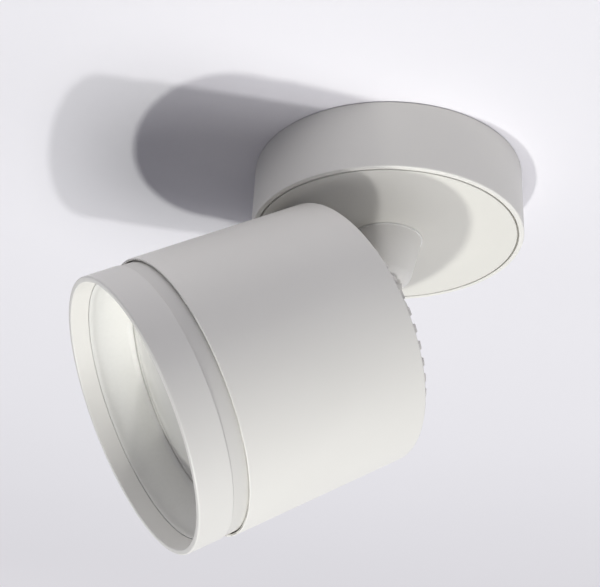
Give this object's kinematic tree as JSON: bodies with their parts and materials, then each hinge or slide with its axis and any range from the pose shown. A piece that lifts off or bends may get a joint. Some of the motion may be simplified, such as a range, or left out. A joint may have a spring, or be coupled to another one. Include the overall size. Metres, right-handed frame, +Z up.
{
  "type": "surface mounted ceiling spotlight",
  "caption": "Surface mounted ceiling spotlight: round white canopy, turning turret and a short wide tilting lamp head with a finned back, anti-glare ring and convex lens.",
  "frame": {"origin": "centre of the canopy on the ceiling plane, between the two bracket slots", "axes": "+Z up into the ceiling, the turret turns about Z; stored head points to -X and down; +Y along the tilt pivot"},
  "size_m": [0.1597, 0.1, 0.1481],
  "materials": {
    "canopy_white": "satin white powder coat",
    "face_white": "satin white powder coat",
    "turret_white": "satin white powder coat on cast zinc",
    "housing_white": "satin white powder coat on aluminium tube",
    "ring_white": "satin white powder coat on turned aluminium",
    "baffle_white": "satin white moulded plastic",
    "fin_white": "white powder coat on cast aluminium",
    "clevis_white": "white powder coat on steel",
    "opal_lens": "glossy opal acrylic",
    "zinc_steel": "bright zinc plated steel",
    "dark_steel": "blackened spring steel",
    "brass": "plain turned brass",
    "driver_case": "white moulded case",
    "nylon": "natural nylon",
    "slide_plastic": "white slide plastic",
    "thermal_grey": "grey heat conducting sheet",
    "led_board": "metal core board with yellow emitting face",
    "holder_white": "white moulded plastic",
    "bright_aluminium": "bright anodised aluminium",
    "silicone": "clear to white silicone"
  },
  "bodies": {
    "canopy": {"mounting_bracket": "zinc_steel", "canopy_ring": "canopy_white", "canopy_disc": "face_white", "disc_screws": "zinc_steel", "canopy_grub_screw": "dark_steel", "earth_screw": "brass", "led_driver": "driver_case", "driver_screws": "zinc_steel", "terminal_block": "nylon", "terminal_clamps": "brass", "terminal_screws": "zinc_steel", "stop_pin": "zinc_steel", "slide_washer": "slide_plastic"},
    "turret": {"turret": "turret_white", "turret_nipple": "brass", "stop_plate": "zinc_steel", "disc_spring": "dark_steel", "nipple_nut": "zinc_steel"},
    "head": {"tilt_clevis": "clevis_white", "clevis_screws": "zinc_steel", "pivot_screw": "dark_steel", "pivot_nut": "zinc_steel", "friction_pads": "slide_plastic", "heat_sink": "fin_white", "lamp_housing": "housing_white", "sink_screws": "zinc_steel", "thermal_pad": "thermal_grey", "led_board": "led_board", "led_holder": "holder_white", "holder_screws": "zinc_steel", "reflector": "bright_aluminium", "lens_seal": "silicone", "lens": "opal_lens", "baffle_cone": "baffle_white", "front_ring": "ring_white"}
  },
  "joints": [
    {"name": "turret_turn", "type": "hinge", "parent": "canopy", "child": "turret", "pos_m": [0, 0, -0.0258], "axis": [0, 0, 1], "range_deg": [-170, 170]},
    {"name": "head_tilt", "type": "hinge", "parent": "turret", "child": "head", "pos_m": [0, 0, -0.0571], "axis": [0, 1, 0], "range_deg": [-118.6, 0]}
  ]
}
